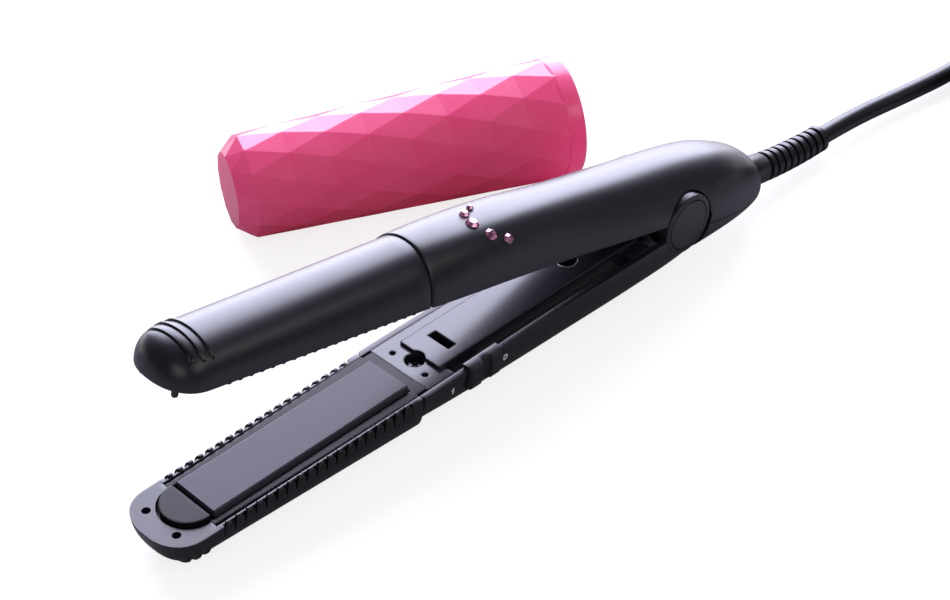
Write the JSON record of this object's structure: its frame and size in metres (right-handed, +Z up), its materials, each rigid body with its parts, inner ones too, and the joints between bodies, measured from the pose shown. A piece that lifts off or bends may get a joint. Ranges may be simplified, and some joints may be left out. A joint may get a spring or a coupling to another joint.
{
  "type": "hair styling iron",
  "caption": "Compact flat-plate hair styling iron with sprung plates, comb-edged round barrels, slide switch, mains cord and a faceted storage cap lying beside it",
  "frame": {"origin": "centre of the bounding box at table level, measured without the cord, its coil and its plug", "axes": "+X along the iron towards the cord, -X towards the tips, -Y is the switch side, +Z up from the table"},
  "size_m": [0.3974, 0.2136, 0.0674],
  "materials": {
    "shell": "satin charcoal moulded ABS",
    "barrel": "satin charcoal coated aluminium",
    "cover": "semi-gloss black moulded plastic",
    "frame": "matte black heat-proof nylon",
    "plate": "dark grey ceramic coating on aluminium",
    "heater": "bare ceramic heater",
    "silicone": "red silicone",
    "steel": "plain steel",
    "screw": "black zinc screw",
    "knob": "satin black moulded plastic",
    "print": "white print",
    "board": "green circuit board",
    "wire": "silicone insulated wire",
    "crystal": "foiled pink glass",
    "cord": "black PVC",
    "brass": "plain brass",
    "hood": "pink tinted plastic"
  },
  "bodies": {
    "main_body": {"upper_barrel": "barrel", "upper_plate_frame": "frame", "upper_float_pads": "silicone", "upper_grip_shell": "shell", "upper_inner_cover": "cover", "upper_screws": "screw", "upper_wires": "wire", "rear_lower_cover": "shell", "crystals": "crystal", "control_board": "board", "thermal_fuse": "steel", "hinge_washers": "steel", "torsion_spring": "steel", "bend_relief": "cord", "mains_cord": "cord", "cord_coil": "cord", "cord_tie": "cord", "cord_tail": "cord", "plug_body": "cord", "plug_pins": "brass"},
    "lower_arm": {"lower_barrel": "barrel", "lower_plate_frame": "frame", "lower_float_pads": "silicone", "lower_arm_shell": "shell", "lower_inner_cover": "cover", "lower_screws": "screw", "lower_wires": "wire", "switch_module": "frame", "switch_numerals": "print", "hinge_cap_near": "shell", "hinge_cap_far": "shell", "hinge_pin": "steel"},
    "upper_plate": {"upper_heater_plate": "plate", "upper_heater_element": "heater"},
    "lower_plate": {"lower_heater_plate": "plate", "lower_heater_element": "heater"},
    "switch_knob": {"switch_knob": "knob"},
    "storage_cap": {"storage_cap": "hood"}
  },
  "joints": [
    {"name": "arm_hinge", "type": "hinge", "parent": "main_body", "child": "lower_arm", "pos_m": [0.05203, -0.04573, 0.0196], "axis": [0, 1, 0], "range_deg": [0, 14.2], "stiffness_Nm_per_rad": 0.3, "springref_deg": -28.65, "deforming": ["torsion_spring"]},
    {"name": "lower_plate_float", "type": "slide", "parent": "lower_arm", "child": "lower_plate", "axis": [0.0384, 0, -0.9993], "range_m": [0, 0.0006], "stiffness_N_per_m": 2000, "springref_m": -0.0006, "deforming": ["lower_float_pads"]},
    {"name": "upper_plate_float", "type": "slide", "parent": "main_body", "child": "upper_plate", "axis": [0.2079, 0, 0.9781], "range_m": [0, 0.0006], "stiffness_N_per_m": 2000, "springref_m": -0.0006, "deforming": ["upper_float_pads"]},
    {"name": "switch_slide", "type": "slide", "parent": "lower_arm", "child": "switch_knob", "axis": [-0.9993, 0, -0.0384], "range_m": [0, 0.003]},
    {"name": "cap_slide", "type": "slide", "parent": "main_body", "child": "storage_cap", "axis": [-0.9139, 0.4059, 0], "range_m": [0, 0.03]}
  ]
}
